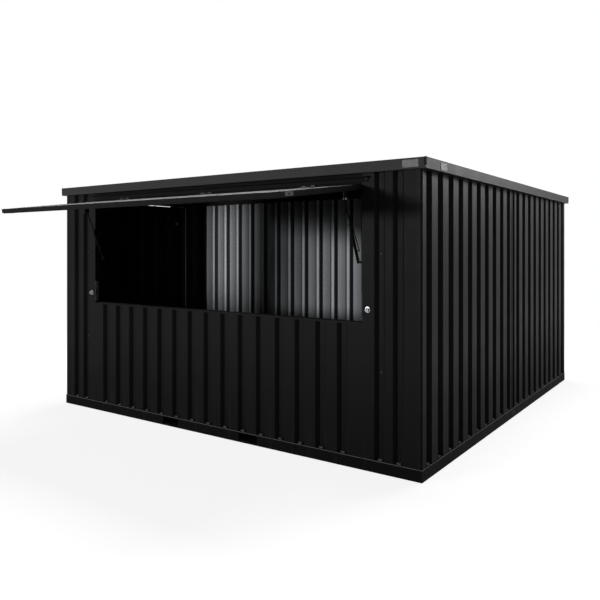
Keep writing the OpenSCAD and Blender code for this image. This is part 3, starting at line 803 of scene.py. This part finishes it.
def corner_plate_rivets():
    """Rivets in the corners of the two bare plates on the fascia."""
    low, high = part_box("corner_plates")
    inset = 0.009
    front_xs = (low.x + inset, low.x + PLATE_LENGTH - inset)
    side_ys = (high.y - PLATE_LENGTH + inset, high.y - inset)
    places = []
    for z in (low.z + inset, high.z - inset):
        places += [((x, low.y, z), FORWARD) for x in front_xs]
        places += [((high.x, y, z), RIGHT) for y in side_ys]
    screws("corner_plate_rivets", places, RIVET, finish=DULL)


# ---- Serving opening ----


def sill_trim():
    """Steel edge strip along the sill, and the seal that the closed hatch meets."""
    strip_t, strip_h, strip_depth = 0.0012, 0.010, 0.018
    shape = bmesh.new()
    add_block(
        shape,
        (SILL_LOW.x, SILL_LOW.y - strip_t, SILL_TOP - strip_h),
        (SILL_HIGH.x, SILL_LOW.y + strip_depth, SILL_TOP + strip_t),
        0.0005,
    )
    finish_piece("sill_edge_strip", shape, "building", FRAME_BLACK)
    radius, behind_leaf = 0.004, 0.010
    back = HATCH_BACK + behind_leaf
    inset = radius * 0.7
    end_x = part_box("hatch_keepers")[1].x - inset
    low_z, high_z = SILL_TOP + inset, HEADER_Z - inset
    path = [(-end_x, back, low_z), (end_x, back, low_z), (end_x, back, high_z), (-end_x, back, high_z)]
    beads("opening_seal", [closed(path)], radius)


def lock_faces():
    """Plated roses with a turned knob, a key plug and a keyway, at each side of the opening."""
    faces, plugs, keyways = bmesh.new(), bmesh.new(), bmesh.new()
    for x in (LOCK_RADIUS - LOCKS_HIGH.x, LOCKS_HIGH.x - LOCK_RADIUS):
        foot = (x, LOCKS_HIGH.y, LOCK_Z)
        add_turned(faces, ROSE, foot, FORWARD, 40)
        add_turned(plugs, PLUG, (x, LOCKS_HIGH.y - ROSE[-1][1], LOCK_Z), FORWARD, 24)
        add_keyway(keyways, foot, FORWARD, 0.0230, 0.0236)
    roses = finish_piece("hatch_lock_faces", faces, "building", PLATED, smooth=True)
    finish_piece("hatch_lock_plugs", plugs, "building", DULL, smooth=True)
    finish_piece("hatch_keyways", keyways, "building", RUBBER)
    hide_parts("hatch_locks")


def keeper_details():
    """Slots and screws in the keeper plates on the jambs."""
    low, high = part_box("hatch_keepers")
    middle_y, middle_z = (low.y + high.y) / 2, (low.z + high.z) / 2
    face_x = high.x - KEEPER_T
    slot_half, slot_foot, slot_head, slot_proud = 0.006, -0.032, 0.016, 0.0006
    screw_rises = (-0.085, -0.055, 0.055, 0.085)
    shape = bmesh.new()
    places = []
    for side, inward in ((-1, RIGHT), (1, LEFT)):
        add_block(
            shape,
            (side * (face_x - slot_proud), middle_y - slot_half, middle_z + slot_foot),
            (side * (face_x + 0.001), middle_y + slot_half, middle_z + slot_head),
            0.0002,
        )
        places += [((side * face_x, middle_y, middle_z + rise), inward) for rise in screw_rises]
    finish_piece("keeper_slots", shape, "building", RUBBER)
    screws("keeper_screws", places, SMALL_SCREW, finish=DULL)


def rail_bolts():
    """Painted screws along the drip rail, and a bare steel rivet at each end."""
    count, inset, rise = 6, 0.022, 0.012
    step = (RAIL_HIGH.x - RAIL_LOW.x - 2 * inset) / (count - 1)
    xs = [RAIL_LOW.x + inset + i * step for i in range(count)]
    places = [((x, RAIL_FACE, RAIL_LOW.z + rise), FORWARD) for x in xs]
    screws("rail_bolts", places[1:-1], SMALL_SCREW)
    screws("rail_end_bolts", [places[0], places[-1]], RIVET, finish=DULL)


# ---- Hatch ----

EDGE_STRIP_T = 0.0015


def hatch_screws():
    """Screws round the front of the hatch leaf's frame, and along its foot at the back."""
    bar, count, side_rows = LEAF_BAR / 2, 13, 4
    low_z, high_z = HATCH_BOTTOM + bar, HATCH_TOP - bar
    step = (2 * HATCH_X - LEAF_BAR) / (count - 1)
    xs = [-HATCH_X + bar + i * step for i in range(count)]
    rise = (high_z - low_z) / (side_rows + 1)
    rows = [low_z + (i + 1) * rise for i in range(side_rows)]
    places = [((x, FRONT_Y, z), FORWARD) for x in xs for z in (low_z, high_z)]
    places += [((x, FRONT_Y, z), FORWARD) for z in rows for x in (xs[0], xs[-1])]
    places += [((x, HATCH_BACK, low_z), BACK) for x in xs[1:-1]]
    screws("hatch_screws", places, SMALL_SCREW, body="hatch", place=OPEN_HATCH)


def hatch_edge_strips():
    """Thin near-black strips along the foot and the ends of the hatch leaf: painted shade on its edges."""
    shape = bmesh.new()
    foot = (HATCH_X, HATCH_BACK, HATCH_BOTTOM - EDGE_STRIP_T)
    add_block(shape, (-HATCH_X, FRONT_Y, HATCH_BOTTOM), foot, 0.0003)
    for side in (-1, 1):
        end = (side * (HATCH_X + EDGE_STRIP_T), HATCH_BACK, HATCH_TOP)
        add_block(shape, (side * HATCH_X, FRONT_Y, HATCH_BOTTOM), end, 0.0003)
    finish_piece("hatch_edge_strips", shape, "hatch", EDGE_SHADE_BLACK, OPEN_HATCH)


def hatch_end_plates():
    """A lock's end plate on each end of the hatch leaf, with a slot in it."""
    plate_t, plate_half, plate_in = 0.0015, 0.045, 0.004
    slot_proud, slot_half, slot_in = 0.0004, 0.012, 0.013
    plates, slots = bmesh.new(), bmesh.new()
    for side in (-1, 1):
        end = side * HATCH_X
        add_block(
            plates,
            (end, FRONT_Y + plate_in, LOCK_Z - plate_half),
            (end + side * (EDGE_STRIP_T + plate_t), HATCH_BACK - plate_in, LOCK_Z + plate_half),
            0.0004,
        )
        slot_x = end + side * (EDGE_STRIP_T + plate_t + slot_proud)
        add_block(
            slots,
            (end + side * EDGE_STRIP_T, FRONT_Y + slot_in, LOCK_Z - slot_half),
            (slot_x, HATCH_BACK - slot_in, LOCK_Z + slot_half),
        )
    finish_piece("hatch_end_plates", plates, "hatch", PLATE_GREY, OPEN_HATCH)
    finish_piece("hatch_end_slots", slots, "hatch", RUBBER, OPEN_HATCH)


def hatch_seal():
    """Rubber bead round the back of the hatch leaf."""
    inset, radius = 0.010, 0.0035
    end, y = HATCH_X - inset, HATCH_BACK + 0.002
    low_z, high_z = HATCH_BOTTOM + inset, HATCH_TOP - inset
    path = [(-end, y, low_z), (end, y, low_z), (end, y, high_z), (-end, y, high_z)]
    beads("hatch_seal", [closed(path)], radius, body="hatch", place=OPEN_HATCH)


def hinge_screws():
    """Four screws in each strap of the hatch."""
    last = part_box("hatch_hinge_straps")[1].x - STRAP_HALF
    beside, drops, face = 0.040, (0.030, 0.058), FRONT_Y - STRAP_T
    places = []
    for middle in (-last, 0.0, last):
        for x in (middle - beside, middle + beside):
            places += [((x, face, HATCH_AXIS.z - drop), FORWARD) for drop in drops]
    screws("hatch_hinge_screws", places, SMALL_SCREW, body="hatch", place=OPEN_HATCH)


def rain_seal():
    """Matt rubber strip that covers the gap above the hatch, under the rail's lip, near-black as painted shade
    there.
    """
    seal_t, foot, end = 0.0015, 0.0096, 0.006
    shape = bmesh.new()
    add_block(
        shape,
        (RAIL_LOW.x + end, RAIL_FACE - seal_t, HATCH_AXIS.z + foot),
        (RAIL_HIGH.x - end, RAIL_FACE, RAIL_HIGH.z - FRAME_STEEL),
        0.0004,
    )
    finish_piece("rain_seal", shape, "building", SEAL_AND_SHADE_BLACK)


def hatch_latches():
    """Flat latch boxes near the ends of the hatch, each with a pin towards the keeper."""
    boxes, pins = bmesh.new(), bmesh.new()
    box_inner, box_outer, half = HATCH_X - 0.058, HATCH_X - 0.006, 0.030
    pin_start, pin_tip, pin_radius = HATCH_X - 0.020, HATCH_X - 0.001, 0.0055
    sunk, depth = 0.001, 0.008
    pin_y = HATCH_BACK - sunk
    for side in (-1, 1):
        add_block(
            boxes,
            (side * box_inner, HATCH_BACK - sunk, LOCK_Z - half),
            (side * box_outer, HATCH_BACK + depth, LOCK_Z + half),
            0.002,
        )
        add_bar(pins, (side * pin_start, pin_y, LOCK_Z), (side * pin_tip, pin_y, LOCK_Z), pin_radius)
    finish_piece("hatch_latch_boxes", boxes, "hatch", FRAME_BLACK, OPEN_HATCH)
    finish_piece("hatch_latch_pins", pins, "hatch", FRAME_BLACK, OPEN_HATCH, smooth=True)


# ---- Doors in the left end ----


def door_lock_faces():
    """Bare steel roses with a turned knob and a keyway, on both faces of the front door."""
    low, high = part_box("door_locks")
    y = (low.y + high.y) / 2
    faces, keyways = bmesh.new(), bmesh.new()
    for z in (low.z + LOCK_RADIUS, high.z - LOCK_RADIUS):
        for x, facing in ((low.x + LOCK_REACH, LEFT), (high.x - LOCK_REACH, RIGHT)):
            add_turned(faces, ROSE, (x, y, z), facing, 40)
            add_keyway(keyways, (x, y, z), facing, 0.0215, 0.0226)
    roses = finish_piece("door_lock_faces", faces, "door", DULL, smooth=True)
    finish_piece("door_keyways", keyways, "door", RUBBER)
    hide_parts("door_locks")


def door_seals():
    """Rubber beads in the gap round each door, left open for two stretches along the top."""
    radius, top_radius = 0.0025, 0.0037
    low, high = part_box("door_leaf")
    rear_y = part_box("rear_door_leaf")[1].y
    x = -END_X + LEAF_T / 2
    low_z, high_z = low.z - radius, high.z
    gap_z = high_z + LEAF_GAP / 2
    for name, body, edge_y in (("front", "door", high.y), ("rear", "building", rear_y)):
        high_y = edge_y + radius
        low_y = high_y - DOOR_WIDTH - 2 * radius
        path = [(x, low_y, high_z), (x, low_y, low_z), (x, high_y, low_z), (x, high_y, high_z)]
        beads(name + "_door_seal", [path], radius, body=body)
        hinge_end = (low_y, low_y + 0.120)
        middle_bit = (high_y - 0.510, high_y - 0.495)
        lock_end = (high_y - 0.235, high_y)
        stretches = (hinge_end, middle_bit, lock_end)
        paths = [[(x, start, gap_z), (x, end, gap_z)] for start, end in stretches]
        beads(name + "_door_top_seal", paths, top_radius)


def door_edge_strips():
    """Galvanised edge strips on the inner face of each door frame."""
    inner_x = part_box("door_frame")[1].x
    low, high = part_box("door_leaf")
    strip_t, strip_w = 0.0012, 0.008
    shape = bmesh.new()
    for leaf_y in (high.y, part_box("rear_door_leaf")[1].y):
        edge = leaf_y + LEAF_GAP
        far_corner = (inner_x + strip_t, edge + strip_w, high.z)
        add_block(shape, (inner_x, edge, low.z), far_corner, 0.0004)
    finish_piece("door_edge_strips", shape, "building", PLAIN_ZINC)


# ---- Gas struts ----


def strut_details(name, inward, outward, bright):
    """Rings on the barrel of a gas strut, and the studs of both its eyes."""
    foot = Vector(joint_named(name + "_strut_pivot")["pos_m"])
    up = -Vector(joint_named(name + "_strut_slide")["axis"])
    barrel = bmesh.new()
    for height in (0.014, STRUT_BARREL - 0.020):
        add_turned(barrel, closed(RING), foot + up * height, up, 28)
    finish_piece(name + "_barrel_rings", barrel, name + "_barrel", RUBBER, smooth=True)

    rod_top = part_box(name + "_strut_rod")[1].z - STRUT_EYE
    top = foot + up * ((rod_top - foot.z) / up.z)
    inward, outward = Vector(inward), Vector(outward)
    studs = bmesh.new()
    add_turned(studs, DOME, top + outward * 0.010, outward, 20)
    add_turned(studs, DOME, top + inward * 0.0052, inward, 20)
    finish_piece(name + "_strut_studs", studs, name + "_rod", bright, smooth=True)

    heads = bmesh.new()
    add_turned(heads, DOME, foot + inward * 0.0095, inward, 20)
    finish_piece(name + "_pivot_heads", heads, "building", bright, smooth=True)


def both_struts():
    """The two gas struts, whose studs are painted on the left and plated on the right."""
    strut_details("left", RIGHT, LEFT, FRAME_BLACK)
    strut_details("right", LEFT, RIGHT, PLATED)


# ---- Stage, light and camera ----


def stage_floor():
    """A pale floor that keeps the bar's shadow and runs out into plain white."""
    mesh = bpy.data.meshes.new("floor")
    half = 80.0
    corners = [(-half, -half, 0), (half, -half, 0), (half, half, 0), (-half, half, 0)]
    mesh.from_pydata(corners, [], [(0, 1, 2, 3)])
    mesh.materials.append(pale_floor())
    floor = bpy.data.objects.new("floor", mesh)
    bpy.context.scene.collection.objects.link(floor)


def pale_floor():
    """The floor's finish: nearly white to the eye, and dark to the light it would throw back."""
    finish, tree, coords = new_finish("pale_floor")
    from_middle = add(tree, "ShaderNodeVectorMath", {0: coords}, operation="LENGTH").outputs["Value"]
    away = ramp(tree, from_middle, 4.5, 11.0)
    pale = mixed(tree, cloud(tree, coords, 3.0), grey(0.50), grey(0.53))
    lit = add(tree, "ShaderNodeBsdfDiffuse", {"Color": pale}).outputs[0]
    lift = add(tree, "ShaderNodeEmission", {"Color": grey(1.0), "Strength": 0.85}).outputs[0]
    near = add(tree, "ShaderNodeAddShader", {0: lit, 1: lift}).outputs[0]
    white = add(tree, "ShaderNodeEmission", {"Color": grey(1.0), "Strength": 1.0}).outputs[0]
    seen = add(tree, "ShaderNodeMixShader", {0: away, 1: near, 2: white}).outputs[0]
    bounce = add(tree, "ShaderNodeBsdfDiffuse", {"Color": grey(0.10)}).outputs[0]
    both = add(tree, "ShaderNodeMixShader", {0: seen_rays(tree), 1: bounce, 2: seen}).outputs[0]
    add(tree, "ShaderNodeOutputMaterial", {"Surface": both})
    return finish


def seen_rays(tree):
    """1 for what the camera sees, straight on, in gloss or through glass."""
    rays = add(tree, "ShaderNodeLightPath").outputs
    seen = rays["Is Camera Ray"]
    for kind in ("Is Glossy Ray", "Is Transmission Ray"):
        seen = worked(tree, "MAXIMUM", seen, rays[kind])
    return seen


def white_world():
    """White to the eye all round, and a weak soft light on the bar itself."""
    world = bpy.data.worlds.new("studio")
    world.use_nodes = True
    tree = world.node_tree
    tree.nodes.clear()
    white = add(tree, "ShaderNodeBackground", {"Color": grey(1.0), "Strength": 1.0}).outputs[0]
    soft = add(tree, "ShaderNodeBackground", {"Color": grey(1.0, 0.01), "Strength": 0.05}).outputs[0]
    both = add(tree, "ShaderNodeMixShader", {0: seen_rays(tree), 1: soft, 2: white}).outputs[0]
    add(tree, "ShaderNodeOutputWorld", {"Surface": both})
    bpy.context.scene.world = world


def soft_box(name, at, target, size, power, spread):
    """A soft lamp of a width and height that faces a target, its light held to a spread in degrees."""
    lamp = bpy.data.lights.new(name, "AREA")
    lamp.shape = "RECTANGLE"
    lamp.size, lamp.size_y = size
    lamp.energy = power
    lamp.spread = radians(spread)
    placed = bpy.data.objects.new(name, lamp)
    placed.location = at
    placed.rotation_euler = (Vector(target) - Vector(at)).to_track_quat("-Z", "Y").to_euler()
    bpy.context.scene.collection.objects.link(placed)


def level_camera():
    """Level camera off the bar's right front corner, at a standing person's eye height."""
    view = bpy.data.cameras.new("camera")
    view.lens, view.sensor_width = 38.80, 36.0
    view.shift_x, view.shift_y = 0.044, -0.0865
    view.clip_start, view.clip_end = 0.1, 300.0
    eye_height, turned_left = 1.659, radians(36.1)
    camera = bpy.data.objects.new("camera", view)
    camera.location = (3.864, -6.523, eye_height)
    camera.rotation_euler = (pi / 2, 0.0, turned_left)
    bpy.context.scene.collection.objects.link(camera)
    bpy.context.scene.camera = camera


# Name, place, target, width and height, power and spread of each lamp: one far in front, one behind
# the right end, one overhead, and a strip inside the bar room that lights its galvanised wall.
LAMPS = (
    ("front_box", (-12.5, -26.5, 3.6), (0.0, -2.2, 1.6), (9.0, 2.2), 3500.0, 180),
    ("rear_right_box", (6.5, 13.0, 6.5), (2.0, 0.0, 4.5), (5.0, 3.0), 75.0, 34),
    ("top_box", (0.0, 1.0, 9.0), (0.0, 0.0, 0.0), (6.0, 5.0), 600.0, 180),
    ("room_box", (-1.88, -1.00, 1.60), (-1.62, 0.0, 1.60), (0.12, 1.30), 1.4, 60),
)


def light_and_stage():
    """White surroundings, the floor and every lamp."""
    white_world()
    stage_floor()
    for name, at, target, size, power, spread in LAMPS:
        soft_box(name, at, target, size, power, spread)


level_camera()
finish_nodes()
wall_fixings()
base_edges()
middle_wall_rivets()
post_bolts()
roof_cap()
roof_screws()
roof_corner_caps()
roof_hems()
corner_plate_rivets()
sill_trim()
lock_faces()
keeper_details()
rail_bolts()
hatch_screws()
hatch_edge_strips()
hatch_end_plates()
hatch_seal()
hinge_screws()
rain_seal()
hatch_latches()
door_lock_faces()
door_seals()
door_edge_strips()
both_struts()
light_and_stage()

bpy.context.scene.view_settings.view_transform = "Standard"
